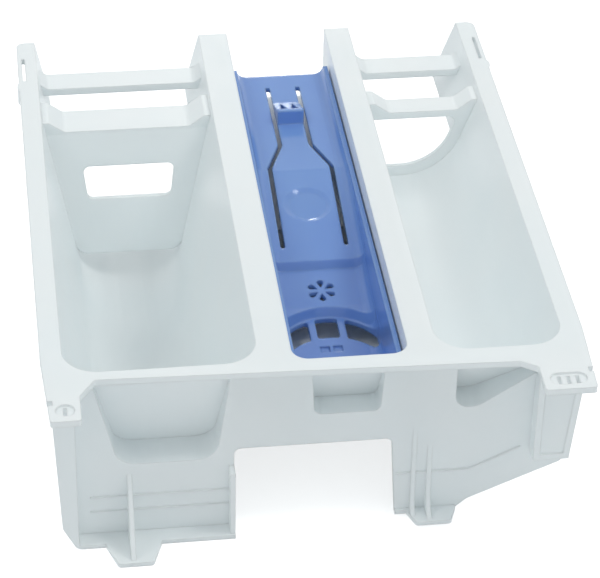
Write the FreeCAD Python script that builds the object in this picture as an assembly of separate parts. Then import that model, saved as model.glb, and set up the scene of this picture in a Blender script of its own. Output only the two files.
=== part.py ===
import FreeCAD, Part
import math
import os

V = FreeCAD.Vector

# Detergent dispenser drawer of a front-loading washing machine, without its front handle.
# Two pieces: the white drawer body and the blue siphon insert that drops into its middle channel.
# Working axes: x across, y from the front (minus) to the rear (plus), z up, in millimetres.
# y = 0 is the front edge of the three compartments and z = 0 is the top of the rails.

# Overall sizes
WIDTH = 190.0            # across the outer rails
REAR = 220.5             # compartment front edge to the rail ends
HEIGHT = 72.0            # rail tops to the underside of the left leg
WALL = 2.0               # general wall thickness of the body
OVER = 3.0               # how far a cutting shape runs past what it cuts
ROOT = 1.0               # how far a rib is sunk into the wall it grows from

# Rails
RAIL_PLATE = 2.5         # thickness of the rail tops and the front flange
OUTER_RAIL = 7.5         # width of each outer rail
LEFT_RAIL_AT = -20.2     # left edge of the rail between the left compartment and the channel
LEFT_RAIL_WIDTH = 11.7
CHANNEL_WIDTH = 40.6
RIGHT_RAIL_WIDTH = 10.2
OUTER_TIP_RADIUS = 3.2
CENTRE_TIP_RADIUS = 0.8
LIP_START = 14.0         # front end of the lip, behind the compartment front edge
LIP_DEPTH = 7.0          # lip hanging from the outer edge of each outer rail
LIP_THICK = 1.7
REAR_WALL_DEPTH = 24.0   # how far the side walls reach down behind the compartments

# Spring detents near the rear ends of the outer rails
DETENT_SLOT_END = 12.5   # rear end of the slot, from the rail end
DETENT_SLOT_LENGTH = 17.0
DETENT_SLOT_WIDTH = 1.2
DETENT_BUMP_AT = 33.5    # middle of the bump, from the rail end
DETENT_RISE = 0.8
DETENT_RADIUS = 6.0

# Left compartment: a deep trough, open at the rear under a hanging panel
LEFT_OUTER_DRAFT = 12.0  # degrees
LEFT_INNER_DRAFT = 14.0
LEFT_FLOOR_RADIUS = 16.0
LEFT_CORNER_RADIUS = 12.5
LEFT_FRONT_SLOPE = 0.316  # run of the sloping front wall per unit of depth

# Right compartment: a shallow rounded trough closed by a bulkhead
RIGHT_ARC_RADIUS = 25.2
RIGHT_ARC_DEPTH = 12.0   # rail tops to the middle of the floor arc
RIGHT_ARC_INSET = 31.0   # rail edge to the middle of the floor arc
RIGHT_INNER_DRAFT = 2.5  # degrees
RIGHT_HEEL_RADIUS = 5.0
RIGHT_CORNER_RADIUS = 12.0
RIGHT_FRONT_SLOPE = 0.46
BULKHEAD_Y = 164.3
BULKHEAD_RIM = 4.5       # what is left of the bulkhead below its opening
BULKHEAD_SIDE = 1.2      # what is left of it beside the channel
BULKHEAD_RADIUS = 3.0

# Middle channel: a softener chamber at the front and a shallow shelf behind it
CHAMBER_ROOM = 8.0       # free height under the insert's basin
CHAMBER_REAR = 112.0
SHELF_ROOM = 10.5        # free height under the press tongue
CHANNEL_CORNER_RADIUS = 6.0
CHANNEL_FRONT_SLOPE = 0.40

# Cross bars between the rails
BAR_DROP = 7.0           # rail tops to the top of a bar
BAR_THICK = 3.0
REAR_BAR_AT = 14.0       # rear face of the rear bars, from the rail ends
REAR_BAR_WIDTH = 11.5
LEFT_BAR_Y = 162.6
LEFT_BAR_WIDTH = 15.4
RIGHT_BAR_WIDTH = 10.0
REAR_BAR_RISE = 2.5      # how far the bar ends rise to meet the walls
FRONT_BAR_RISE = 4.5
REAR_BAR_SHELF = 0.8     # level stretch at each bar end, and the run of the slope beside it
REAR_BAR_RUN = 3.2
FRONT_BAR_SHELF = 3.0
FRONT_BAR_RUN = 6.0
BAR_CREST_RADIUS = 1.0
BAR_DIP_RADIUS = 3.0

# Hanging panel at the rear of the left compartment
PANEL_LEAN = 12.6        # how far its foot stands in front of its head
PANEL_THICK = 2.0
PANEL_GAP = 12.5         # flush gap between its foot and the floor
PANEL_FOOT_RADIUS = 7.0
PANEL_EDGE_RADIUS = 0.6
WINDOW_HEAD = 21.5       # rail tops to the top of the window
WINDOW_HEIGHT = 13.5
WINDOW_TOP_WIDTH = 36.5
WINDOW_FOOT_WIDTH = 33.0
WINDOW_RADIUS = 2.5

# Front flange and its two corner tabs, seen from above
TAB_REACH = 25.6         # compartment front edge to the front of the tabs
TAB_NECK = 12.5
TAB_INSET = 1.8          # tab outer edge to the side of the drawer
LEFT_TAB_WIDTH = 10.6
RIGHT_TAB_WIDTH = 18.0
TAB_SHOULDER = 5.6       # width of the slanting run from a tab to the flange
LEFT_FLANGE = 4.3        # depth of the flange at its left and right ends
RIGHT_FLANGE = 8.8
TAB_RADIUS = 1.2
SIDE_BEND_Y = 8.0        # where the sides bend in towards the tabs
SIDE_BEND_RADIUS = 40.0
LATCH_AT = 5.9           # latch slots, from the tab front
LATCH_LENGTH = 4.0
LATCH_WIDTH = 1.3
LATCH_PITCH = 3.2
LEFT_LATCHES = 1
RIGHT_LATCHES = 3
DIMPLE_MARGIN = 2.6      # edge of the oval dimple around the latch slots
DIMPLE_WIDTH = 6.2
DIMPLE_DEPTH = 0.8
NICK = 1.2               # depth of the nick in the outer edge of a tab
NICK_AT = 10.1

# Front skirt: a plate with two legs and a notch between them
SKIRT_FACE = -3.0
SKIRT_RADIUS = 3.0
LEFT_SIDE_INSET = 2.2    # skirt side to the side of the drawer, at the top
LEFT_SIDE_TAPER = 2.6    # further inset at the bottom
LEFT_CHAMFER_WIDTH = 4.8
LEFT_CHAMFER_HEIGHT = 10.0
RIGHT_SIDE_INSET = 1.2
RIGHT_SIDE_TAPER = 4.3
RIGHT_FOOT_RAISE = 1.6   # foot of the right leg, above the foot of the left one
RIGHT_FOOT_END = 8.5     # flat foot and start of its slanting edge, from the right rail
RIGHT_SLANT_AT = 13.2
RIGHT_SLANT_RAISE = 5.9  # heights of the slanting edge's two ends
RIGHT_SLANT_TOP = 21.1
NOTCH_LEFT = -29.0
NOTCH_WIDTH = 56.0
NOTCH_FLARE = 2.2        # how much wider the notch is at its foot
NOTCH_DEPTH = 35.7       # rail tops to the top of the notch
NOTCH_RADIUS = 2.5

# Pockets of the skirt that show the sloping compartment fronts
# The pairs are left and right edges, from the middle of the compartment
POCKET_HEAD = 4.0        # rail tops to the top of the pockets
POCKET_REACH = 22.0      # how far the pocket walls run back
LEFT_POCKET_TOP = (-24.1, 23.4)
LEFT_POCKET_FOOT = (-15.8, 18.6)
LEFT_POCKET_DEPTH = 39.6
MIDDLE_POCKET_TOP = (-13.8, 11.6)
MIDDLE_POCKET_FOOT = (-12.8, 10.6)
MIDDLE_POCKET_DEPTH = 22.6
RIGHT_POCKET_INSET = 6.7     # from the right rail
RIGHT_POCKET_FLAT = 0.5      # level stretch between the two roundings of its floor
RIGHT_POCKET_MARGIN = 7.5    # to the outer rail
RIGHT_POCKET_DEPTH = 23.6
RIGHT_POCKET_SIDE = 4.0      # height of its outer side
WIDE_POCKET_RADIUS = 8.0
HEEL_POCKET_RADIUS = 5.0
SMALL_POCKET_RADIUS = 3.0

# Columns, ribs and ledges on the front of the skirt
RIM_REACH = 6.4          # columns and left ledge, in front of the skirt
LEDGE_THICK = 1.6
LEFT_COLUMN_WIDTH = 10.4
RIGHT_COLUMN_WIDTH = 18.0
RIGHT_COLUMN_RAISE = 27.0    # foot of the right column, above the foot of the left leg
COLUMN_DROP = 5.0        # rail tops to the column tops
COLUMN_PANEL = 0.6       # depth of the panel sunk into the right column
COLUMN_MARGIN = 2.4
SIDE_RIM = 1.8
SIDE_RIM_RAISE = 29.0
SIDE_RIM_REACH = 5.4
FINE_RIB = 0.6
FINE_RIB_START = 15.0    # left ends of the fine ribs, from the side of the drawer
FINE_RIB_RAISES = (18.6, 12.0)
CREASE_RAISE = 20.3      # fine rib across the right leg and the end of its slanting run
CREASE_END_RAISE = 29.3
CREASE_END_INSET = 21.5

# Latch tongues at the feet of the legs and the gussets that brace them
LEFT_TONGUE_AT = -11.4   # middle of the left tongue, from the middle of the compartment
LEFT_TONGUE_ROOT = 20.0
LEFT_TONGUE_TIP = 12.4
LEFT_TONGUE_REACH = 17.4
RIGHT_TONGUE_ROOT = 18.0
RIGHT_TONGUE_TIP = 12.6
RIGHT_TONGUE_REACH = 8.2
FOOT_RIM = 1.2           # ledge along the flat foot of the right leg
TONGUE_RADIUS = 1.5
GUSSET = 1.7
LEFT_GUSSET_AT = -0.8    # from the middle of the left tongue
LEFT_GUSSET_RAISE = 28.0
LEFT_GUSSET_END = 1.4    # gusset foot to the front of the tongue
RIGHT_GUSSET_ATS = (-7.0, -1.4)
RIGHT_GUSSET_RAISES = (42.2, 33.1)
RIGHT_GUSSET_ENDS = (3.4, 1.2)

# Keel under the right compartment
KEEL_SHORT = 26.0        # keel end, in front of the bulkhead
KEEL_RAMP = 20.0
KEEL_RADIUS = 6.0

# Siphon insert
SIDE_GAP = 0.6           # insert to channel wall, each side
FRONT_GAP = 2.0          # insert to the sloping front of the channel
INSERT_REAR_GAP = 16.5   # insert to the rail ends
INSERT_DROP = 8.0        # rail tops to the top of its side walls
INSERT_WALL = 1.8
INSERT_PLATE = 2.0
COVE_RADIUS = 4.0        # rounded foot of each side wall, made of a few narrow strips
COVE_STEPS = 4
FLOOR_DROP = 3.5         # side wall tops to the floor behind the ramp
RAMP_START = 134.0
RAMP_LENGTH = 48.8
RAMP_DROP = 8.6
RIDGE_RUN = 1.6
RIDGE_DROP = 3.4
POCKET_LENGTH = 19.1
POCKET_DROP = 3.0
STEP_RUN = 2.0
STEP_DROP = 3.5
SUPPORT_AT = 12.0        # supporting ribs, from the insert's rear and from the ramp
FRONT_SUPPORT_AT = 4.0   # front supporting ribs, from the front of the basin

# Press tongue of the insert
TONGUE_END_GAP = 9.0     # rear ends of the slots, from the rear of the insert
NECK_LENGTH = 43.0
SHOULDER_LENGTH = 16.0
PAD_LENGTH = 43.6
NECK_HALF = 6.1
PAD_HALF = 12.1
SLOT_WIDTH = 1.8
NECK_BEND_RADIUS = 3.0
PAD_BEND_RADIUS = 2.0
HOOK_AT = 15.0           # hook, behind the neck's front end
HOOK_WIDTH = 10.4
HOOK_THICK = 2.0
HOOK_HEIGHT = 6.2
HOOK_BRACE_LENGTH = 14.0 # wedge behind the hook, with pockets between its ribs
HOOK_BRACE_HEIGHT = 5.6
HOOK_RIB = 1.3
HOOK_POCKETS = 2
DISH_AT = 22.6           # thumb dish, behind the front ends of the slots
DISH_RADIUS = 9.3
DISH_RIM = 2.0           # width of its sloping rim
DISH_DEPTH = 0.9
DISH_FILLET = 1.0

# Rosette, siphon bell and basin openings of the insert
ROSETTE_AT = 8.4         # rosette, behind the front of its pocket
PETALS = 6
PETAL_TIP = 1.5          # reach of each drop-shaped hole from the middle
PETAL_END = 5.4
PETAL_HALF = 2.0
PETAL_RADIUS = 1.2
PETAL_TIP_RADIUS = 0.2
BASIN_RADIUS = 20.5      # round rear wall of the basin
BELL_AT = 4.0            # bell, in front of the middle of the round wall
BELL_RADIUS = 9.0
BELL_WALL = 1.6
BELL_GAP = 2.2           # bell skirt to chamber floor and bell roof to standpipe
OPENING_EDGE = 0.8       # openings to the basin's rear edge
OPENING_LENGTH = 11.8    # rear to front edge of the openings, both edges alike
OPENING_RIB_AT = 5.5     # ribs between the openings, from the middle
OPENING_RIB = 2.6
OPENING_RADIUS = 1.2
MARK_SIZE = 3.4          # two sunk squares above the bell
MARK_GAP = 1.4
MARK_AT = 5.2            # middle of the squares, behind the middle of the bell
MARK_DEPTH = 0.7
PIPE_RADIUS = 4.0
PIPE_BORE = 2.6

# Derived sizes
HALF = WIDTH / 2
INNER = HALF - OUTER_RAIL
BOTTOM = -HEIGHT
LEFT_RAIL = (LEFT_RAIL_AT, LEFT_RAIL_AT + LEFT_RAIL_WIDTH)
RIGHT_RAIL = (LEFT_RAIL[1] + CHANNEL_WIDTH, LEFT_RAIL[1] + CHANNEL_WIDTH + RIGHT_RAIL_WIDTH)
LEFT_MID = (LEFT_RAIL[0] - INNER) / 2
CHANNEL_MID = LEFT_RAIL[1] + CHANNEL_WIDTH / 2
LEFT_DEPTH = HEIGHT - WALL
LEFT_REAR = LEFT_BAR_Y + LEFT_BAR_WIDTH
RIGHT_ARC = (INNER - RIGHT_ARC_INSET, -RIGHT_ARC_DEPTH)
BAR_TOP = -BAR_DROP
BAR_FOOT = BAR_TOP - BAR_THICK
TAB_FRONT = -TAB_REACH
LEFT_TAB = (-HALF + TAB_INSET, -HALF + TAB_INSET + LEFT_TAB_WIDTH)
RIGHT_TAB = (HALF - TAB_INSET - RIGHT_TAB_WIDTH, HALF - TAB_INSET)
SKIRT_BACK = SKIRT_FACE + WALL
SKIRT_ROOT = SKIRT_FACE + ROOT
SKIRT_TOP = -RAIL_PLATE / 2
RIM_FACE = SKIRT_FACE - RIM_REACH
NOTCH = (NOTCH_LEFT, NOTCH_LEFT + NOTCH_WIDTH)
RIGHT_FOOT = BOTTOM + RIGHT_FOOT_RAISE
INSERT_RIM = -INSERT_DROP
FLOOR_REAR = INSERT_RIM - FLOOR_DROP
INSERT_REAR = REAR - INSERT_REAR_GAP
INSERT_SIDES = (LEFT_RAIL[1] + SIDE_GAP, RIGHT_RAIL[0] - SIDE_GAP)
RIDGE = (RAMP_START - RAMP_LENGTH, FLOOR_REAR - RAMP_DROP)
POCKET_REAR = (RIDGE[0] - RIDGE_RUN, RIDGE[1] - RIDGE_DROP)
POCKET_FRONT = (POCKET_REAR[0] - POCKET_LENGTH, POCKET_REAR[1] - POCKET_DROP)
BASIN = (POCKET_FRONT[0] - STEP_RUN, POCKET_FRONT[1] - STEP_DROP)
BASIN_UNDER = BASIN[1] - INSERT_PLATE
REAR_UNDER = FLOOR_REAR - INSERT_PLATE
CHAMBER_FLOOR = BASIN_UNDER - CHAMBER_ROOM
SHELF_FLOOR = REAR_UNDER - SHELF_ROOM
BASIN_MID = BASIN[0] - BASIN_RADIUS
BELL = (CHANNEL_MID, BASIN_MID - BELL_AT)
BELL_FOOT = CHAMBER_FLOOR + BELL_GAP
PIPE_TOP = BASIN_UNDER - BELL_GAP
TONGUE_REAR = INSERT_REAR - TONGUE_END_GAP
TONGUE_NECK = TONGUE_REAR - NECK_LENGTH
TONGUE_SHOULDER = TONGUE_NECK - SHOULDER_LENGTH
TONGUE_FRONT = TONGUE_SHOULDER - PAD_LENGTH


def xy(z):
    """Map outline coordinates onto the level plane at height z."""
    return lambda u, v: V(u, v, z)


def xz(y):
    """Map outline coordinates onto the upright plane across the drawer at y."""
    return lambda u, v: V(u, y, v)


def yz(x):
    """Map outline coordinates onto the upright plane along the drawer at x."""
    return lambda u, v: V(x, u, v)


def outline(corners, place):
    """Closed wire through (u, v) or (u, v, radius) corners, rounded where a radius is given."""
    bends = []
    count = len(corners)
    for i, corner in enumerate(corners):
        here = V(corner[0], corner[1], 0)
        radius = corner[2] if len(corner) > 2 else 0.0
        if radius <= 0:
            bends.append((here, None, here))
            continue
        back = (V(*corners[i - 1][:2], 0) - here).normalize()
        ahead = (V(*corners[(i + 1) % count][:2], 0) - here).normalize()
        half = back.getAngle(ahead) / 2
        reach = radius / math.tan(half)
        middle = (back + ahead).normalize() * (radius / math.sin(half) - radius)
        bends.append((here + back * reach, here + middle, here + ahead * reach))
    edges = []
    for i, (start, middle, end) in enumerate(bends):
        if middle is not None:
            edges.append(Part.Arc(*[place(p.x, p.y) for p in (start, middle, end)]).toShape())
        following = bends[(i + 1) % count][0]
        if (following - end).Length > 1e-6:
            edges.append(Part.makeLine(place(end.x, end.y), place(following.x, following.y)))
    return Part.Wire(edges)


def level_prism(corners, z0, z1):
    """Solid of a level outline from height z0 to z1."""
    return Part.Face(outline(corners, xy(z0))).extrude(V(0, 0, z1 - z0))


def across_prism(corners, y0, y1):
    """Solid of an (x, z) outline from y0 to y1."""
    return Part.Face(outline(corners, xz(y0))).extrude(V(0, y1 - y0, 0))


def along_prism(corners, x0, x1):
    """Solid of a (y, z) outline from x0 to x1."""
    return Part.Face(outline(corners, yz(x0))).extrude(V(x1 - x0, 0, 0))


def block(x0, x1, y0, y1, z0, z1):
    return Part.makeBox(x1 - x0, y1 - y0, z1 - z0, V(x0, y0, z0))


def rounded_slab(x0, x1, y0, y1, radius, z0, z1):
    return level_prism([(x0, y0, radius), (x1, y0, radius), (x1, y1, radius), (x0, y1, radius)], z0, z1)


def front_cut(x0, x1, radius, slope, grow, rear):
    """Space behind a sloping front wall with rounded corners; grow moves it outwards by a wall."""
    wires = []
    for z in (OVER, BOTTOM - OVER):
        y = -slope * z - grow * math.hypot(1, slope)
        wires.append(outline([
            (x0 - grow, y, radius + grow),
            (x1 + grow, y, radius + grow),
            (x1 + grow, rear),
            (x0 - grow, rear),
        ], xy(z)))
    return Part.makeLoft(wires, True, True)


def tangent_tilt(cx, cz, radius, x, z):
    """Tilt of the normal where the line from (x, z) touches the underside of a circle."""
    return math.atan2(z - cz, x - cx) - math.acos(radius / math.hypot(x - cx, z - cz))


def left_section(grow):
    """Cross-section corners of the left compartment, grown outwards by a wall."""
    outer = math.radians(LEFT_OUTER_DRAFT)
    inner = math.radians(LEFT_INNER_DRAFT)
    floor = -LEFT_DEPTH - grow
    radius = LEFT_FLOOR_RADIUS + grow
    left = -INNER - grow / math.cos(outer)
    right = LEFT_RAIL[0] + grow / math.cos(inner)
    return [
        (left - OVER * math.tan(outer), OVER),
        (left - floor * math.tan(outer), floor, radius),
        (right + floor * math.tan(inner), floor, radius),
        (right + OVER * math.tan(inner), OVER),
    ]


def right_section(grow, inner_grow, y0, y1):
    """Solid of the right compartment's cross-section, grown outwards by a wall.

    inner_grow is the growth of the wall beside the channel.
    """
    cx, cz = RIGHT_ARC
    radius = RIGHT_ARC_RADIUS + grow
    floor = cz - radius
    lean = math.tan(math.radians(RIGHT_INNER_DRAFT))
    side = RIGHT_RAIL[1] - inner_grow
    heel = V(side - floor * lean, floor, 0)
    # The outer wall is the tangent from the rail edge to the floor arc
    tilt = tangent_tilt(cx, cz, RIGHT_ARC_RADIUS, INNER, 0)
    normal = V(math.cos(tilt), math.sin(tilt), 0)
    touch = V(cx, cz, 0) + normal * radius
    top = touch + V(-normal.y, normal.x, 0) * ((OVER - touch.y) / normal.x)
    sweep = (tilt - math.pi / 2) / 2
    belly = V(cx + radius * math.cos(sweep), cz + radius * math.sin(sweep), 0)
    chain = [V(cx, floor, 0), heel, V(side - OVER * lean, OVER, 0), top, touch]
    place = xz(y0)
    points = [place(p.x, p.y) for p in chain]
    edges = [Part.makeLine(a, b) for a, b in zip(points, points[1:])]
    edges.append(Part.Arc(points[-1], place(belly.x, belly.y), points[0]).toShape())
    solid = Part.Face(Part.Wire(edges)).extrude(V(0, y1 - y0, 0))
    heel_edges = [e for e in solid.Edges
                  if all(abs(v.X - heel.x) < 0.01 and abs(v.Z - floor) < 0.01 for v in e.Vertexes)]
    return solid.makeFillet(RIGHT_HEEL_RADIUS + grow, heel_edges)


def left_trough(grow, rear):
    section = across_prism(left_section(grow), -2 * OVER, rear)
    front = front_cut(-INNER, LEFT_RAIL[0], LEFT_CORNER_RADIUS, LEFT_FRONT_SLOPE, grow, rear + OVER)
    return section.common(front)


def right_trough(grow, rear):
    section = right_section(grow, grow, -2 * OVER, rear)
    front = front_cut(RIGHT_RAIL[1], INNER, RIGHT_CORNER_RADIUS, RIGHT_FRONT_SLOPE, grow, rear + OVER)
    return section.common(front)


def channel(grow, rear):
    """Middle channel: the deep chamber in front and the shallow shelf behind it."""
    x0 = LEFT_RAIL[1] - grow
    x1 = RIGHT_RAIL[0] + grow
    chamber = block(x0, x1, -2 * OVER, CHAMBER_REAR + grow, CHAMBER_FLOOR - grow, OVER)
    shelf = block(x0, x1, CHAMBER_REAR - OVER, rear, SHELF_FLOOR - grow, OVER)
    front = front_cut(LEFT_RAIL[1], RIGHT_RAIL[0], CHANNEL_CORNER_RADIUS, CHANNEL_FRONT_SLOPE,
                      grow, rear + OVER)
    return chamber.common(front).fuse(shelf)


def outer_lip():
    """Lip of the right outer rail with the bump of its spring detent."""
    bump_y = REAR - DETENT_BUMP_AT
    lip = block(HALF - LIP_THICK, HALF, LIP_START, REAR - DETENT_SLOT_END + OVER, -LIP_DEPTH, 0)
    bump = Part.makeCylinder(DETENT_RADIUS, LIP_DEPTH,
                             V(HALF + DETENT_RISE - DETENT_RADIUS, bump_y, -LIP_DEPTH))
    outside = block(HALF - LIP_THICK, HALF + OVER, bump_y - DETENT_RADIUS, bump_y + DETENT_RADIUS,
                    -LIP_DEPTH, 0)
    return lip.fuse(bump.common(outside))


def top_frame():
    """Rail tops, outer lips, and the front flange with its corner tabs."""
    behind = SIDE_BEND_Y + SIDE_BEND_RADIUS
    flange = level_prism([
        (-HALF, SIDE_BEND_Y, SIDE_BEND_RADIUS),
        (LEFT_TAB[0], TAB_FRONT, TAB_RADIUS),
        (LEFT_TAB[1], TAB_FRONT, TAB_RADIUS),
        (LEFT_TAB[1], -TAB_NECK, TAB_RADIUS),
        (LEFT_TAB[1] + TAB_SHOULDER, -LEFT_FLANGE, TAB_RADIUS),
        (RIGHT_TAB[0] - TAB_SHOULDER, -RIGHT_FLANGE, TAB_RADIUS),
        (RIGHT_TAB[0], -TAB_NECK, TAB_RADIUS),
        (RIGHT_TAB[0], TAB_FRONT, TAB_RADIUS),
        (RIGHT_TAB[1], TAB_FRONT, TAB_RADIUS),
        (HALF, SIDE_BEND_Y, SIDE_BEND_RADIUS),
        (HALF, behind),
        (-HALF, behind),
    ], -RAIL_PLATE, 0)
    rails = [
        (-HALF, -INNER + WALL, OUTER_TIP_RADIUS),
        (LEFT_RAIL[0] - WALL, LEFT_RAIL[1] + WALL, CENTRE_TIP_RADIUS),
        (RIGHT_RAIL[0] - WALL, RIGHT_RAIL[1] + WALL, CENTRE_TIP_RADIUS),
        (INNER - WALL, HALF, OUTER_TIP_RADIUS),
    ]
    parts = [level_prism([(x0, SIDE_BEND_Y), (x1, SIDE_BEND_Y), (x1, REAR, r), (x0, REAR, r)], -RAIL_PLATE, 0)
             for x0, x1, r in rails]
    right_lip = outer_lip()
    left_lip = right_lip.mirror(V(0, 0, 0), V(1, 0, 0))
    return flange.multiFuse(parts + [left_lip, right_lip])


def skirt_right_side(z):
    """Where the right side of the skirt stands at height z."""
    share = (SKIRT_TOP - z) / (SKIRT_TOP - BOTTOM - RIGHT_SLANT_TOP)
    return HALF - RIGHT_SIDE_INSET - RIGHT_SIDE_TAPER * share


def skirt_corners():
    """Outline of the front skirt with its two legs and the notch between them."""
    left = -HALF + LEFT_SIDE_INSET
    slant_top = BOTTOM + RIGHT_SLANT_TOP
    return [
        (left, SKIRT_TOP),
        (left + LEFT_SIDE_TAPER, BOTTOM + LEFT_CHAMFER_HEIGHT, SKIRT_RADIUS),
        (left + LEFT_SIDE_TAPER + LEFT_CHAMFER_WIDTH, BOTTOM, SKIRT_RADIUS),
        (NOTCH[0], BOTTOM),
        (NOTCH[0], -NOTCH_DEPTH, NOTCH_RADIUS),
        (NOTCH[1], -NOTCH_DEPTH, NOTCH_RADIUS),
        (NOTCH[1] + NOTCH_FLARE, RIGHT_FOOT),
        (RIGHT_RAIL[1] + RIGHT_FOOT_END, RIGHT_FOOT),
        (RIGHT_RAIL[1] + RIGHT_SLANT_AT, BOTTOM + RIGHT_SLANT_RAISE, SKIRT_RADIUS),
        (skirt_right_side(slant_top), slant_top, SKIRT_RADIUS),
        (skirt_right_side(SKIRT_TOP), SKIRT_TOP),
    ]


def side_pocket(mid, top, foot, depth, radius):
    """Pocket outline with sloping sides around the middle of a compartment."""
    return [
        (mid + top[0], -POCKET_HEAD),
        (mid + foot[0], -depth, radius),
        (mid + foot[1], -depth, radius),
        (mid + top[1], -POCKET_HEAD),
    ]


def pocket_corners():
    """Outlines of the three pockets that show the sloping compartment fronts."""
    near = RIGHT_RAIL[1] + RIGHT_POCKET_INSET
    far = INNER - RIGHT_POCKET_MARGIN
    shoulder = -POCKET_HEAD - RIGHT_POCKET_SIDE
    # The slanting side is the tangent from the shoulder to the wide rounding of the floor
    bend = near + HEEL_POCKET_RADIUS + RIGHT_POCKET_FLAT
    tilt = tangent_tilt(bend, WIDE_POCKET_RADIUS - RIGHT_POCKET_DEPTH, WIDE_POCKET_RADIUS, far, shoulder)
    bend += WIDE_POCKET_RADIUS * (1 + math.sin(tilt)) / math.cos(tilt)
    return [
        side_pocket(LEFT_MID, LEFT_POCKET_TOP, LEFT_POCKET_FOOT, LEFT_POCKET_DEPTH, WIDE_POCKET_RADIUS),
        side_pocket(CHANNEL_MID, MIDDLE_POCKET_TOP, MIDDLE_POCKET_FOOT, MIDDLE_POCKET_DEPTH,
                    SMALL_POCKET_RADIUS),
        [
            (near, -POCKET_HEAD),
            (near, -RIGHT_POCKET_DEPTH, HEEL_POCKET_RADIUS),
            (bend, -RIGHT_POCKET_DEPTH, WIDE_POCKET_RADIUS),
            (far, shoulder, SMALL_POCKET_RADIUS),
            (far, -POCKET_HEAD),
        ],
    ]


def pocket_sleeve(corners):
    """Pocket outline grown by one wall, reaching back to the sloping compartment front."""
    face = Part.Face(outline(corners, xz(SKIRT_FACE)))
    grown = face.makeOffset2D(WALL, 0)
    return Part.Face(grown.Wires[0]).extrude(V(0, POCKET_REACH, 0))


def gusset(x, top, foot_y, floor, hollow):
    """Upright rib from the skirt down onto a tongue, with a straight or a hollow front edge."""
    reach = SKIRT_FACE - foot_y
    bend = [(SKIRT_FACE - 0.3 * reach, floor + 0.5 * reach, 1.5 * reach)] if hollow else []
    under = floor - LEDGE_THICK / 2
    corners = [(SKIRT_ROOT, top), (SKIRT_FACE, top)] + bend
    corners += [(foot_y, floor), (foot_y, under), (SKIRT_ROOT, under)]
    return along_prism(corners, x - GUSSET / 2, x + GUSSET / 2)


def latch_tongue(mid, root, tip, reach, root_y, foot):
    """Latch tongue at the foot of a leg, narrowing towards its front."""
    front = SKIRT_FACE - reach
    return level_prism([
        (mid - root / 2, SKIRT_BACK),
        (mid - root / 2, root_y),
        (mid - tip / 2, front, TONGUE_RADIUS),
        (mid + tip / 2, front, TONGUE_RADIUS),
        (mid + root / 2, root_y),
        (mid + root / 2, SKIRT_BACK),
    ], foot, foot + LEDGE_THICK)


def skirt_rims():
    """Columns, ledges and side rim that stand in front of the skirt."""
    low = BOTTOM - OVER
    zone = across_prism(skirt_corners(), RIM_FACE, SKIRT_ROOT)
    left_column = block(-HALF, -HALF + LEFT_COLUMN_WIDTH, RIM_FACE, SKIRT_ROOT, low, -COLUMN_DROP)
    right_column = block(HALF - RIGHT_COLUMN_WIDTH, HALF, RIM_FACE, SKIRT_ROOT,
                         BOTTOM + RIGHT_COLUMN_RAISE, -COLUMN_DROP)
    ledge = block(-HALF, NOTCH[0], RIM_FACE, SKIRT_ROOT, low, BOTTOM + LEDGE_THICK)
    rims = [zone.common(part) for part in (left_column, right_column, ledge)]
    rims.append(block(NOTCH[0] - SIDE_RIM, NOTCH[0], SKIRT_FACE - SIDE_RIM_REACH, SKIRT_ROOT,
                      BOTTOM, BOTTOM + SIDE_RIM_RAISE))
    rims.append(block(NOTCH[1] + NOTCH_FLARE, RIGHT_RAIL[1], SKIRT_FACE - FOOT_RIM, SKIRT_ROOT,
                      RIGHT_FOOT, RIGHT_FOOT + LEDGE_THICK))
    return rims


def skirt_tongues():
    """The two latch tongues and their gussets."""
    left = LEFT_MID + LEFT_TONGUE_AT
    right = RIGHT_RAIL[1]
    left_front = SKIRT_FACE - LEFT_TONGUE_REACH
    right_front = SKIRT_FACE - RIGHT_TONGUE_REACH
    parts = [
        latch_tongue(left, LEFT_TONGUE_ROOT, LEFT_TONGUE_TIP, LEFT_TONGUE_REACH, RIM_FACE, BOTTOM),
        latch_tongue(right, RIGHT_TONGUE_ROOT, RIGHT_TONGUE_TIP, RIGHT_TONGUE_REACH,
                     SKIRT_FACE - FOOT_RIM, RIGHT_FOOT),
        gusset(left + LEFT_GUSSET_AT, BOTTOM + LEFT_GUSSET_RAISE, left_front + LEFT_GUSSET_END,
               BOTTOM + LEDGE_THICK, False),
    ]
    for offset, raised, end in zip(RIGHT_GUSSET_ATS, RIGHT_GUSSET_RAISES, RIGHT_GUSSET_ENDS):
        parts.append(gusset(right + offset, BOTTOM + raised, right_front + end,
                            RIGHT_FOOT + LEDGE_THICK, True))
    return parts


def fine_ribs():
    """Fine raised lines across the two legs."""
    left, right = -HALF + FINE_RIB_START, NOTCH[0] - SIDE_RIM / 2
    lines = [[(left, raised), (right, raised)] for raised in FINE_RIB_RAISES]
    knee = (RIGHT_RAIL[1] + RIGHT_SLANT_AT, CREASE_RAISE)
    lines.append([(NOTCH[1] + NOTCH_FLARE, CREASE_RAISE), knee])
    lines.append([knee, (HALF - CREASE_END_INSET, CREASE_END_RAISE)])
    ribs = []
    for line in lines:
        top = [(x, BOTTOM + raised) for x, raised in line]
        foot = [(x, z - FINE_RIB) for x, z in top[::-1]]
        ribs.append(across_prism(top + foot, SKIRT_FACE - FINE_RIB, SKIRT_ROOT))
    return ribs


def keel():
    """Bracing rib under the right compartment, level with the underside."""
    x = RIGHT_RAIL[1] - WALL
    end = BULKHEAD_Y - KEEL_SHORT
    front = SKIRT_BACK - ROOT
    top = RIGHT_ARC[1] - RIGHT_ARC_RADIUS + ROOT
    return along_prism([
        (front, RIGHT_FOOT + LEDGE_THICK),
        (SKIRT_BACK + KEEL_RAMP, BOTTOM, KEEL_RADIUS),
        (end, BOTTOM, KEEL_RADIUS),
        (end + KEEL_RAMP, top),
        (front, top),
    ], x, x + WALL)


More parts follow.
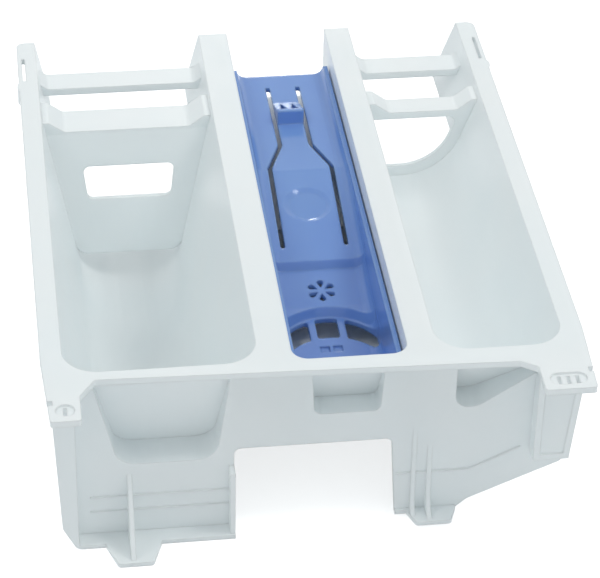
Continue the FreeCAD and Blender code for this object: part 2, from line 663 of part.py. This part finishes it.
def front_skirt():
    plate = across_prism(skirt_corners(), SKIRT_FACE, SKIRT_BACK)
    sleeves = [pocket_sleeve(corners) for corners in pocket_corners()]
    return plate.multiFuse(skirt_rims() + skirt_tongues() + fine_ribs() + sleeves + [keel()])


def column_panel():
    """Shallow panel sunk into the front of the right column."""
    near = HALF - RIGHT_COLUMN_WIDTH + COLUMN_MARGIN
    head = -COLUMN_DROP - COLUMN_MARGIN
    foot = BOTTOM + RIGHT_COLUMN_RAISE + COLUMN_MARGIN
    return across_prism([
        (near, head),
        (near, foot),
        (skirt_right_side(foot) - COLUMN_MARGIN, foot),
        (skirt_right_side(head) - COLUMN_MARGIN, head),
    ], RIM_FACE - OVER, RIM_FACE + COLUMN_PANEL)


def cross_bar(x0, x1, y0, y1, rise, shelf, run):
    """Bar between two walls, its ends rising to meet them."""
    crest = BAR_TOP + rise
    return across_prism([
        (x0 - ROOT, crest),
        (x0 - ROOT, BAR_FOOT),
        (x1 + ROOT, BAR_FOOT),
        (x1 + ROOT, crest),
        (x1 - shelf, crest, BAR_CREST_RADIUS),
        (x1 - shelf - run, BAR_TOP, BAR_DIP_RADIUS),
        (x0 + shelf + run, BAR_TOP, BAR_DIP_RADIUS),
        (x0 + shelf, crest, BAR_CREST_RADIUS),
    ], y0, y1)


def cross_bars():
    rear = REAR - REAR_BAR_AT
    bars = []
    for x0, x1, y, width in ((-INNER, LEFT_RAIL[0], LEFT_BAR_Y, LEFT_BAR_WIDTH),
                             (RIGHT_RAIL[1], INNER, BULKHEAD_Y, RIGHT_BAR_WIDTH)):
        bars.append(cross_bar(x0, x1, rear - REAR_BAR_WIDTH, rear,
                              REAR_BAR_RISE, REAR_BAR_SHELF, REAR_BAR_RUN))
        bars.append(cross_bar(x0, x1, y, y + width, FRONT_BAR_RISE, FRONT_BAR_SHELF, FRONT_BAR_RUN))
    return bars


def hanging_panel():
    """Leaning panel with its window, filling the left compartment from wall to wall."""
    head_y = LEFT_BAR_Y
    foot_y = head_y - PANEL_LEAN
    foot_z = PANEL_GAP - LEFT_DEPTH
    y0 = foot_y - OVER
    y1 = head_y + PANEL_THICK + OVER
    sheet = along_prism([
        (head_y, BAR_TOP - ROOT),
        (foot_y, foot_z, PANEL_EDGE_RADIUS),
        (foot_y + PANEL_THICK, foot_z, PANEL_EDGE_RADIUS),
        (head_y + PANEL_THICK, BAR_TOP - ROOT),
    ], -INNER, LEFT_RAIL[0])
    outer = math.tan(math.radians(LEFT_OUTER_DRAFT))
    inner = math.tan(math.radians(LEFT_INNER_DRAFT))
    left = -INNER - ROOT / 2
    right = LEFT_RAIL[0] + ROOT / 2
    sides = across_prism([
        (left, 0),
        (left - foot_z * outer, foot_z, PANEL_FOOT_RADIUS),
        (right + foot_z * inner, foot_z, PANEL_FOOT_RADIUS),
        (right, 0),
    ], y0, y1)
    head = -WINDOW_HEAD
    foot = head - WINDOW_HEIGHT
    window = across_prism([
        (LEFT_MID - WINDOW_TOP_WIDTH / 2, head, WINDOW_RADIUS),
        (LEFT_MID - WINDOW_FOOT_WIDTH / 2, foot, WINDOW_RADIUS),
        (LEFT_MID + WINDOW_FOOT_WIDTH / 2, foot, WINDOW_RADIUS),
        (LEFT_MID + WINDOW_TOP_WIDTH / 2, head, WINDOW_RADIUS),
    ], y0, y1)
    return sheet.common(sides).cut(window)


def bulkhead():
    """Rear wall of the right compartment with its D-shaped opening."""
    y0 = BULKHEAD_Y - OVER
    y1 = BULKHEAD_Y + WALL + OVER
    plate = right_section(ROOT / 2, ROOT / 2, BULKHEAD_Y, BULKHEAD_Y + WALL)
    plate = plate.common(block(0, HALF, y0, y1, BOTTOM, BAR_FOOT + ROOT))
    hole = right_section(-BULKHEAD_RIM, -BULKHEAD_SIDE, y0, y1)
    hole = hole.common(block(0, HALF, y0, y1, BOTTOM, BAR_FOOT))
    corner = [e for e in hole.Edges if abs(e.BoundBox.YLength - (y1 - y0)) < 0.01
              and abs(e.BoundBox.ZMin - BAR_FOOT) < 0.01 and e.BoundBox.XMin > RIGHT_ARC[0]]
    return plate.cut(hole.makeFillet(BULKHEAD_RADIUS, corner))


def tab_cuts():
    """Oval dimples, latch slots and outer nicks of the two corner tabs."""
    y = TAB_FRONT + LATCH_AT
    nick_y = TAB_FRONT + NICK_AT
    below = -RAIL_PLATE - OVER
    cuts = []
    for (x0, x1), count in ((LEFT_TAB, LEFT_LATCHES), (RIGHT_TAB, RIGHT_LATCHES)):
        mid = (x0 + x1) / 2
        spread = (count - 1) * LATCH_PITCH / 2
        reach = spread + LATCH_WIDTH / 2 + DIMPLE_MARGIN
        cuts.append(rounded_slab(mid - reach, mid + reach, y - DIMPLE_WIDTH / 2, y + DIMPLE_WIDTH / 2,
                                 0.49 * DIMPLE_WIDTH, -DIMPLE_DEPTH, OVER))
        edge = max(x0, x1, key=abs)
        cuts.append(block(edge - NICK, edge + NICK, nick_y - NICK, nick_y + NICK, below, OVER))
        for i in range(count):
            x = mid - spread + i * LATCH_PITCH
            cuts.append(block(x - LATCH_WIDTH / 2, x + LATCH_WIDTH / 2, y - LATCH_LENGTH / 2,
                              y + LATCH_LENGTH / 2, below, OVER))
    return cuts


def detent_slots():
    end = REAR - DETENT_SLOT_END
    cuts = []
    for side in (-1, 1):
        x = side * (HALF - LIP_THICK - DETENT_SLOT_WIDTH / 2)
        cuts.append(rounded_slab(x - DETENT_SLOT_WIDTH / 2, x + DETENT_SLOT_WIDTH / 2,
                                 end - DETENT_SLOT_LENGTH, end, 0.45 * DETENT_SLOT_WIDTH,
                                 -RAIL_PLATE - OVER, OVER))
    return cuts


def insert_supports():
    """Ribs inside the channel that carry the insert, and the standpipe under its bell."""
    spots = [
        (INSERT_REAR - SUPPORT_AT, REAR_UNDER, SHELF_FLOOR),
        (RAMP_START + SUPPORT_AT, REAR_UNDER, SHELF_FLOOR),
        (insert_front(BASIN_UNDER, True) + FRONT_SUPPORT_AT, BASIN_UNDER, CHAMBER_FLOOR),
    ]
    reach = SIDE_GAP + INSERT_WALL + WALL
    left_x = (LEFT_RAIL[1] - ROOT, LEFT_RAIL[1] + reach)
    right_x = (RIGHT_RAIL[0] - reach, RIGHT_RAIL[0] + ROOT)
    parts = []
    for y, top, floor in spots:
        for x0, x1 in (left_x, right_x):
            parts.append(block(x0, x1, y, y + WALL, floor - ROOT, top))
    foot = CHAMBER_FLOOR - ROOT
    parts.append(Part.makeCylinder(PIPE_RADIUS, PIPE_TOP - foot, V(*BELL, foot)))
    return parts


def drawer_body():
    past_rear = REAR + OVER
    left_outer = left_trough(WALL, LEFT_REAR)
    right_outer = right_trough(WALL, BULKHEAD_Y + WALL)
    channel_outer = channel(WALL, INSERT_REAR + 2 * WALL)
    rear_zone = block(-HALF, HALF, BULKHEAD_Y - OVER, REAR, -REAR_WALL_DEPTH, 0)
    rear_walls = [
        across_prism(left_section(WALL), LEFT_REAR - OVER, past_rear).common(rear_zone),
        right_section(WALL, WALL, BULKHEAD_Y - OVER, past_rear).common(rear_zone),
        block(LEFT_RAIL[1] - WALL, RIGHT_RAIL[0] + WALL, CHAMBER_REAR, REAR, -REAR_WALL_DEPTH, 0),
    ]
    troughs = left_outer.multiFuse([right_outer, channel_outer])
    solid = front_skirt().multiFuse([top_frame(), troughs] + rear_walls)
    solid = solid.common(block(-WIDTH, WIDTH, -WIDTH, 2 * REAR, BOTTOM, 0))
    for corners in pocket_corners():
        solid = solid.cut(across_prism(corners, SKIRT_FACE - OVER, SKIRT_FACE + POCKET_REACH).cut(troughs))
    for cavity in (left_trough(0, past_rear), right_trough(0, past_rear), channel(0, past_rear)):
        solid = solid.cut(cavity)
    solid = solid.multiFuse(cross_bars() + [hanging_panel(), bulkhead()] + insert_supports())
    foot = CHAMBER_FLOOR - WALL - OVER
    bore = Part.makeCylinder(PIPE_BORE, PIPE_TOP + OVER - foot, V(*BELL, foot))
    for cut in [bore, column_panel()] + tab_cuts() + detent_slots():
        solid = solid.cut(cut)
    return solid.removeSplitter()


def insert_front(z, inside):
    """Where the insert's sloping front wall stands at height z, inside meaning its inner face."""
    depth = FRONT_GAP + (INSERT_WALL if inside else 0.0)
    return depth * math.hypot(1, CHANNEL_FRONT_SLOPE) - CHANNEL_FRONT_SLOPE * z


def insert_floor(lift):
    """Points along the top of the insert's floor from the rear to the basin, raised by lift."""
    points = [(INSERT_REAR, FLOOR_REAR), (RAMP_START, FLOOR_REAR), RIDGE, POCKET_REAR, POCKET_FRONT]
    points += [(BASIN_MID + STEP_RUN, POCKET_FRONT[1]), (BASIN_MID, BASIN[1])]
    return [(y, z + lift) for y, z in points]


def cove_strips():
    """Places across the insert's floor and how far each is lifted, from wall to wall."""
    x0, x1 = INSERT_SIDES
    left, right = [], []
    for i in range(COVE_STEPS + 1):
        turn = math.pi / 2 * i / COVE_STEPS
        inset = INSERT_WALL + COVE_RADIUS * (1 - math.sin(turn))
        lift = COVE_RADIUS * (1 - math.cos(turn))
        left.append((x0 + inset, lift))
        right.append((x1 - inset, lift))
    return left[::-1] + right


def basin_round(radius, floor, top, corners):
    """Rear half of the round basin, its wall sloping outwards, within an (x, z) outline."""
    slope = STEP_RUN / STEP_DROP
    middle = V(CHANNEL_MID, BASIN_MID, floor)
    cone = Part.makeCone(radius, radius + slope * (top - floor), top - floor, middle)
    return cone.common(across_prism(corners, BASIN_MID, RIDGE[0]))


def insert_tray():
    """Tray of the insert: stepped floor, side walls with a rounded foot, and a sloping front."""
    x0, x1 = INSERT_SIDES
    hull = along_prism(insert_floor(-INSERT_PLATE) + [
        (insert_front(BASIN_UNDER, False), BASIN_UNDER),
        (insert_front(INSERT_RIM, False), INSERT_RIM),
        (INSERT_REAR, INSERT_RIM),
    ], x0, x1)
    # The round rear wall of the basin reaches under the floor behind it
    under_radius = BASIN_RADIUS + INSERT_WALL - INSERT_PLATE * STEP_RUN / STEP_DROP
    under_top = POCKET_FRONT[1] - INSERT_PLATE / 2
    sides = [(x0, BASIN_UNDER), (x1, BASIN_UNDER), (x1, under_top), (x0, under_top)]
    hull = hull.fuse(basin_round(under_radius, BASIN_UNDER, under_top, sides))
    # Its front corners are rounded to stay clear of the channel's own
    hull = hull.common(front_cut(LEFT_RAIL[1], RIGHT_RAIL[0], CHANNEL_CORNER_RADIUS, CHANNEL_FRONT_SLOPE,
                                 -SIDE_GAP, INSERT_REAR + OVER))
    wires = []
    for x, lift in cove_strips():
        floor = insert_floor(lift)
        floor[0] = (INSERT_REAR + OVER, floor[0][1])
        basin = floor[-1][1]
        wires.append(outline(floor + [
            (insert_front(basin, True), basin),
            (insert_front(OVER, True), OVER),
            (INSERT_REAR + OVER, OVER),
        ], yz(x)))
    strips = [(x, BASIN[1] + lift) for x, lift in cove_strips()]
    strips += [(strips[-1][0], INSERT_RIM), (strips[0][0], INSERT_RIM)]
    bowl = basin_round(BASIN_RADIUS, BASIN[1], POCKET_REAR[1], strips)
    return hull.cut(Part.makeLoft(wires, True, True)).cut(bowl)


def tongue_slot(side):
    """One of the two slots that free the press tongue, running around its neck and pad."""
    lean = math.atan2(PAD_HALF - NECK_HALF, TONGUE_NECK - TONGUE_SHOULDER)
    end = 0.49 * SLOT_WIDTH

    def edge(offset):
        shift = offset * math.tan(lean / 2)
        return [
            (NECK_HALF + offset, TONGUE_REAR, end),
            (NECK_HALF + offset, TONGUE_NECK + shift, NECK_BEND_RADIUS),
            (PAD_HALF + offset, TONGUE_SHOULDER + shift, PAD_BEND_RADIUS),
            (PAD_HALF + offset, TONGUE_FRONT, end),
        ]

    corners = edge(SLOT_WIDTH / 2) + edge(-SLOT_WIDTH / 2)[::-1]
    low = RIDGE[1] - INSERT_PLATE - OVER
    return level_prism([(CHANNEL_MID + side * x, y, r) for x, y, r in corners], low, OVER)


def hook():
    """Upright catch on the tongue, braced by a ribbed wedge behind it."""
    foot = FLOOR_REAR - INSERT_PLATE / 2
    front = TONGUE_NECK + HOOK_AT
    core = front + HOOK_THICK / 2
    rear = front + HOOK_THICK
    left, right = CHANNEL_MID - HOOK_WIDTH / 2, CHANNEL_MID + HOOK_WIDTH / 2
    plate = block(left, right, front, rear, foot, FLOOR_REAR + HOOK_HEIGHT)
    brace = along_prism([
        (core, foot),
        (rear + HOOK_BRACE_LENGTH, foot),
        (rear + HOOK_BRACE_LENGTH, FLOOR_REAR),
        (rear, FLOOR_REAR + HOOK_BRACE_HEIGHT),
        (core, FLOOR_REAR + HOOK_BRACE_HEIGHT),
    ], left, right)
    pitch = (HOOK_WIDTH - HOOK_RIB) / HOOK_POCKETS
    for i in range(HOOK_POCKETS):
        x0 = left + HOOK_RIB + i * pitch
        x1 = x0 + pitch - HOOK_RIB
        tip = ((x0 + x1) / 2, rear + HOOK_BRACE_LENGTH - HOOK_RIB)
        brace = brace.cut(level_prism([(x0, rear), (x1, rear), tip], FLOOR_REAR, OVER))
    return [plate, brace]


def thumb_dish():
    """Shallow round hollow in the press pad, square to the ramp it lies on."""
    fall = RAMP_DROP / RAMP_LENGTH
    y = TONGUE_FRONT + DISH_AT
    z = FLOOR_REAR - fall * (RAMP_START - y)
    normal = V(0, -fall, 1).normalize()
    floor_radius = DISH_RADIUS - DISH_RIM
    top_radius = DISH_RADIUS + DISH_RIM * OVER / DISH_DEPTH
    cone = Part.makeCone(floor_radius, top_radius, DISH_DEPTH + OVER,
                         V(CHANNEL_MID, y, z) - normal * DISH_DEPTH, normal)
    foot = [e for e in cone.Edges if e.Closed and abs(e.Length - 2 * math.pi * floor_radius) < 0.01]
    return cone.makeFillet(DISH_FILLET, foot)


def rosette():
    """Ring of drop-shaped holes pointing at their common middle."""
    low = POCKET_FRONT[1] - INSERT_PLATE - OVER
    pitch = 360.0 / PETALS
    cuts = []
    for i in range(PETALS):
        petal = level_prism([
            (PETAL_TIP, 0.0, PETAL_TIP_RADIUS),
            (PETAL_END, -PETAL_HALF, PETAL_RADIUS),
            (PETAL_END, PETAL_HALF, PETAL_RADIUS),
        ], low, POCKET_REAR[1] + OVER)
        petal.rotate(V(0, 0, 0), V(0, 0, 1), pitch * (i + 0.5))
        petal.translate(V(CHANNEL_MID, POCKET_FRONT[0] + ROSETTE_AT, 0))
        cuts.append(petal)
    return cuts


def basin_openings():
    """Three openings in a curved row behind the siphon bell, parted by two ribs."""
    low = BASIN_UNDER - OVER
    high = BASIN[1] + COVE_RADIUS + OVER
    radius = BASIN_RADIUS - OPENING_EDGE
    front = BASIN_MID - OPENING_LENGTH
    rear = BASIN[0] + OVER
    row = Part.makeCylinder(radius, high - low, V(CHANNEL_MID, BASIN_MID, low))
    row = row.cut(Part.makeCylinder(radius, high - low, V(CHANNEL_MID, front, low)))
    row = row.common(block(INSERT_SIDES[0] + INSERT_WALL, INSERT_SIDES[1] - INSERT_WALL,
                           front, rear, low, high))
    for side in (-1, 1):
        x = CHANNEL_MID + side * OPENING_RIB_AT
        row = row.cut(block(x - OPENING_RIB / 2, x + OPENING_RIB / 2, front, rear, low, high))
    openings = []
    for piece in row.Solids:
        upright = [e for e in piece.Edges if abs(e.BoundBox.ZLength - (high - low)) < 0.01]
        openings.append(piece.makeFillet(OPENING_RADIUS, upright))
    return openings


def bell_marks():
    """Two sunk squares in the basin floor above the bell."""
    half = MARK_SIZE / 2
    y = BELL[1] + MARK_AT
    marks = []
    for side in (-1, 1):
        x = BELL[0] + side * (MARK_GAP / 2 + half)
        marks.append(block(x - half, x + half, y - half, y + half, BASIN[1] - MARK_DEPTH, BASIN[1] + OVER))
    return marks


def siphon_insert():
    bell = Part.makeCylinder(BELL_RADIUS, BASIN_UNDER + INSERT_PLATE / 2 - BELL_FOOT, V(*BELL, BELL_FOOT))
    hollow = Part.makeCylinder(BELL_RADIUS - BELL_WALL, BASIN_UNDER - BELL_FOOT + OVER,
                               V(*BELL, BELL_FOOT - OVER))
    solid = insert_tray().multiFuse(hook() + [bell])
    cuts = [hollow, tongue_slot(-1), tongue_slot(1), thumb_dish()]
    for cut in cuts + basin_openings() + rosette() + bell_marks():
        solid = solid.cut(cut)
    return solid.removeSplitter()


# The shared frame has its origin under the middle of the drawer, on the plane it stands on
SHIFT = V(0, (TAB_REACH - REAR) / 2, HEIGHT)
os.makedirs("parts", exist_ok=True)
for name, shape in (("drawer_body", drawer_body()), ("siphon_insert", siphon_insert())):
    piece = shape.Solids[0]
    piece.translate(SHIFT)
    piece.exportStep(os.path.join("parts", name + ".step"))
    box = piece.optimalBoundingBox(False)
    print(name, "solids", len(shape.Solids), "valid", piece.isValid(), "volume", round(piece.Volume))
    print("  x", round(box.XMin, 2), round(box.XMax, 2), "y", round(box.YMin, 2), round(box.YMax, 2),
          "z", round(box.ZMin, 2), round(box.ZMax, 2))
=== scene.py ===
import math

import bpy
from mathutils import Matrix, Vector


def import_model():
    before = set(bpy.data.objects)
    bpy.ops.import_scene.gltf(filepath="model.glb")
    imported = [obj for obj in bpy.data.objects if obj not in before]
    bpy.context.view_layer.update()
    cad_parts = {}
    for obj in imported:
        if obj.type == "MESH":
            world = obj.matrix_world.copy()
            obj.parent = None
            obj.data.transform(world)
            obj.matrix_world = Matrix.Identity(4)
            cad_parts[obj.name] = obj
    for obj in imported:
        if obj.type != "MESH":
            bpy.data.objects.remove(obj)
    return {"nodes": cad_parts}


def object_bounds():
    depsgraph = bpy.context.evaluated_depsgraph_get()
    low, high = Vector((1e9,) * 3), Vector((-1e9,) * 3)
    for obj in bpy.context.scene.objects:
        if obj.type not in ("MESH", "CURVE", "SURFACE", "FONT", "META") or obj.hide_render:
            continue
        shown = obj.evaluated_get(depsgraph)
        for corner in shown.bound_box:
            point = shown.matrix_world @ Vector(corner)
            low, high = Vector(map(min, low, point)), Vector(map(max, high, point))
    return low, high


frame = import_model()
cad_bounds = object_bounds()

# Studio picture of the detergent dispenser drawer, in metres.
# Both mouldings keep their modelled shape; this script gives them their plastic, light and camera.

# Camera, as solved from the parallel rails and level edges of the photo
CAMERA_PLACE = Vector((-0.10542, -0.78687, 0.61304))
CAMERA_DOWN = 36.268     # degrees below level
CAMERA_YAW = 8.148       # degrees towards +X
CAMERA_ROLL = 1.4176     # degrees
CAMERA_LENS = 153.6      # millimetres on a 36 mm wide sensor
SENSOR_WIDTH = 36.0

# Light
AMBIENT = (0.92, 0.975, 1.0)
AMBIENT_STRENGTH = 0.60
LIGHT_COLOUR = (1.0, 0.985, 0.955)
LIGHTS = {
    "right": {"place": Vector((0.64, -0.20, 1.18)), "size": 0.35, "watts": 3.4},
    "left": {"place": Vector((-0.70, -0.15, 0.95)), "size": 0.40, "watts": 1.6},
    "back": {"place": Vector((0.12, 1.50, 0.48)), "size": 0.15, "watts": 2.0},
}

# Floor
FLOOR_SIZE = 12.0
FLOOR_GAP = 0.0003       # floor to the lowest point of the drawer
FLOOR_COLOUR = (0.86, 0.87, 0.88)
FLOOR_GLOW = 0.68        # extra brightness where it shows, so that the floor reads as white paper

# Plastics: colours are linear, smudges are added roughness, and edge is the softened edges' width
WHITE = {
    "colour": (0.91, 0.95, 0.955),
    "cloudy": (0.88, 0.935, 0.95),
    "worn": (0.95, 0.96, 0.965),
    "roughness": 0.36,
    "translucency": 0.30,
    "smudges": 0.10,
    "edge": 0.0007,
}
BLUE = {
    "colour": (0.205, 0.36, 0.72),
    "cloudy": (0.175, 0.325, 0.70),
    "worn": (0.29, 0.45, 0.77),
    "roughness": 0.12,
    "translucency": 0.25,
    "smudges": 0.06,
    "edge": 0.0012,
}

# Texture of both plastics: scales are waves per metre
PLASTIC_IOR = 1.49
SCATTER_DEPTH = 0.004    # how far light travels inside the walls
EDGE_SAMPLES = 4
WEAR_SCALE = 160
WEAR_ROUGHNESS = 0.10
CLOUD_SCALE = 22
CLOUD_ROUGHNESS = (-0.05, 0.06)
SMUDGE_SCALE = 110
SINK_SCALE = 45
SINK_DEPTH = 0.0010
GRAIN_SCALE = 1500
GRAIN_DEPTH = 0.00008
BUMP_STRENGTH = 0.10


def add(tree, kind, settings=None, **links):
    """New shader node with socket values from settings and sockets joined to others by name."""
    node = tree.nodes.new(kind)
    for name, value in (settings or {}).items():
        node.inputs[name].default_value = value
    for name, source in links.items():
        tree.links.new(source, node.inputs[name.replace("_", " ")])
    return node


def noise(tree, vector, scale, detail, roughness=0.5):
    """Noise value at the given scale, in waves per metre."""
    node = add(tree, "ShaderNodeTexNoise", {"Scale": scale, "Detail": detail, "Roughness": roughness},
               Vector=vector)
    return node.outputs["Fac"]


def remap(tree, value, low, high, to_low, to_high):
    """Value mapped from one range onto another and held inside it."""
    node = add(tree, "ShaderNodeMapRange",
               {"From Min": low, "From Max": high, "To Min": to_low, "To Max": to_high}, Value=value)
    return node.outputs["Result"]


def mix_colour(tree, share, first, second):
    """Colour between first and second, each a linear colour or a socket."""
    node = tree.nodes.new("ShaderNodeMix")
    node.data_type = "RGBA"
    tree.links.new(share, node.inputs["Factor"])
    for name, value in (("A", first), ("B", second)):
        socket = next(s for s in node.inputs if s.name == name and s.type == "RGBA")
        if isinstance(value, bpy.types.NodeSocket):
            tree.links.new(value, socket)
        else:
            socket.default_value = (*value, 1.0)
    return next(s for s in node.outputs if s.type == "RGBA")


def arithmetic(tree, operation, first, second):
    """Result of one sum; each term is a number or a socket."""
    node = tree.nodes.new("ShaderNodeMath")
    node.operation = operation
    for i, value in enumerate((first, second)):
        if isinstance(value, bpy.types.NodeSocket):
            tree.links.new(value, node.inputs[i])
        else:
            node.inputs[i].default_value = value
    return node.outputs["Value"]


def bump(tree, height, depth, normal):
    """Normal with a relief of the given depth on top of another normal."""
    node = add(tree, "ShaderNodeBump", {"Strength": BUMP_STRENGTH, "Distance": depth},
               Height=height, Normal=normal)
    return node.outputs["Normal"]


def plastic(name, look):
    """Moulded plastic with softened worn edges, a cloudy tone, fine grain and handling smudges."""
    made = bpy.data.materials.new(name)
    made.use_nodes = True
    tree = made.node_tree
    tree.nodes.clear()
    place = add(tree, "ShaderNodeTexCoord").outputs["Object"]

    # Softened edges, and a mask of where they are
    edge = add(tree, "ShaderNodeBevel", {"Radius": look["edge"]})
    edge.samples = EDGE_SAMPLES
    soft = edge.outputs["Normal"]
    facing = tree.nodes.new("ShaderNodeVectorMath")
    facing.operation = "DOT_PRODUCT"
    tree.links.new(soft, facing.inputs[0])
    tree.links.new(add(tree, "ShaderNodeNewGeometry").outputs["Normal"], facing.inputs[1])
    edges = remap(tree, facing.outputs["Value"], 0.99, 0.80, 0.0, 1.0)
    patches = remap(tree, noise(tree, place, WEAR_SCALE, 3), 0.35, 0.65, 0.2, 0.9)
    wear = arithmetic(tree, "MULTIPLY", edges, patches)

    # Cloudy tone, grain, sink marks and handling smudges
    cloud = noise(tree, place, CLOUD_SCALE, 3)
    grain = noise(tree, place, GRAIN_SCALE, 2)
    sink = noise(tree, place, SINK_SCALE, 1)
    smudge = remap(tree, noise(tree, place, SMUDGE_SCALE, 4, 0.6), 0.35, 0.75, 0.0, 1.0)

    tone = mix_colour(tree, remap(tree, cloud, 0.3, 0.7, 0.0, 1.0), look["colour"], look["cloudy"])
    colour = mix_colour(tree, wear, tone, look["worn"])
    rough = arithmetic(tree, "ADD", remap(tree, cloud, 0.3, 0.7, *CLOUD_ROUGHNESS), look["roughness"])
    rough = arithmetic(tree, "ADD", rough, arithmetic(tree, "MULTIPLY", smudge, look["smudges"]))
    rough = arithmetic(tree, "ADD", rough, arithmetic(tree, "MULTIPLY", wear, WEAR_ROUGHNESS))
    normal = bump(tree, sink, SINK_DEPTH, soft)
    normal = bump(tree, grain, GRAIN_DEPTH, normal)

    surface = add(tree, "ShaderNodeBsdfPrincipled", {
        "IOR": PLASTIC_IOR,
        "Subsurface Weight": look["translucency"],
        "Subsurface Radius": (1.0, 1.0, 1.0),
        "Subsurface Scale": SCATTER_DEPTH,
    }, Base_Color=colour, Roughness=rough, Normal=normal)
    add(tree, "ShaderNodeOutputMaterial", Surface=surface.outputs["BSDF"])
    return made


def shown(tree):
    """1 for rays that show the surroundings, straight or by gloss or glass, and 0 for those that light."""
    path = add(tree, "ShaderNodeLightPath")
    total = path.outputs["Is Camera Ray"]
    for name in ("Is Glossy Ray", "Is Transmission Ray"):
        total = arithmetic(tree, "MAXIMUM", total, path.outputs[name])
    return total


def paper():
    """Floor paper that keeps the drawer's shadow and reads as white."""
    made = bpy.data.materials.new("floor_paper")
    made.use_nodes = True
    tree = made.node_tree
    tree.nodes.clear()
    sheet = add(tree, "ShaderNodeBsdfDiffuse", {"Color": (*FLOOR_COLOUR, 1.0)})
    glow = add(tree, "ShaderNodeEmission", {"Color": (1.0, 1.0, 1.0, 1.0)},
               Strength=arithmetic(tree, "MULTIPLY", shown(tree), FLOOR_GLOW))
    both = tree.nodes.new("ShaderNodeAddShader")
    tree.links.new(sheet.outputs["BSDF"], both.inputs[0])
    tree.links.new(glow.outputs["Emission"], both.inputs[1])
    add(tree, "ShaderNodeOutputMaterial", Surface=both.outputs["Shader"])
    return made


def floor():
    low = cad_bounds[0].z - FLOOR_GAP
    half = FLOOR_SIZE / 2
    mesh = bpy.data.meshes.new("floor")
    corners = [(-half, -half, low), (half, -half, low), (half, half, low), (-half, half, low)]
    mesh.from_pydata(corners, [], [(0, 1, 2, 3)])
    mesh.materials.append(paper())
    made = bpy.data.objects.new("floor", mesh)
    bpy.context.collection.objects.link(made)


def area_light(name, place, size, watts):
    """Soft square light aimed at the middle of the drawer."""
    data = bpy.data.lights.new(name, "AREA")
    data.size = size
    data.energy = watts
    data.color = LIGHT_COLOUR
    made = bpy.data.objects.new(name, data)
    made.location = place
    middle = (cad_bounds[0] + cad_bounds[1]) / 2
    made.rotation_euler = (middle - place).to_track_quat("-Z", "Y").to_euler()
    bpy.context.collection.objects.link(made)


def world():
    """Even sky: white where it shows, and a cool level for lighting."""
    made = bpy.data.worlds.new("studio")
    made.use_nodes = True
    tree = made.node_tree
    tree.nodes.clear()
    ambient = add(tree, "ShaderNodeBackground", {"Color": (*AMBIENT, 1.0), "Strength": AMBIENT_STRENGTH})
    white = add(tree, "ShaderNodeBackground", {"Color": (1.0, 1.0, 1.0, 1.0), "Strength": 1.0})
    either = tree.nodes.new("ShaderNodeMixShader")
    tree.links.new(shown(tree), either.inputs["Fac"])
    tree.links.new(ambient.outputs["Background"], either.inputs[1])
    tree.links.new(white.outputs["Background"], either.inputs[2])
    add(tree, "ShaderNodeOutputWorld", Surface=either.outputs["Shader"])
    bpy.context.scene.world = made


def camera():
    data = bpy.data.cameras.new("camera")
    data.lens = CAMERA_LENS
    data.sensor_width = SENSOR_WIDTH
    data.sensor_fit = "HORIZONTAL"
    made = bpy.data.objects.new("camera", data)
    turn = (Matrix.Rotation(-math.radians(CAMERA_YAW), 4, "Z")
            @ Matrix.Rotation(math.radians(90 - CAMERA_DOWN), 4, "X")
            @ Matrix.Rotation(math.radians(CAMERA_ROLL), 4, "Z"))
    made.matrix_world = Matrix.Translation(CAMERA_PLACE) @ turn
    bpy.context.collection.objects.link(made)
    bpy.context.scene.camera = made


def dress(node, made):
    """Give a moulding its plastic."""
    mesh = frame["nodes"][node].data
    mesh.materials.clear()
    mesh.materials.append(made)


dress("drawer_body", plastic("white_plastic", WHITE))
dress("siphon_insert", plastic("blue_plastic", BLUE))
floor()
for light in LIGHTS:
    area_light(light, **LIGHTS[light])
world()
camera()
bpy.context.scene.view_settings.view_transform = "Standard"
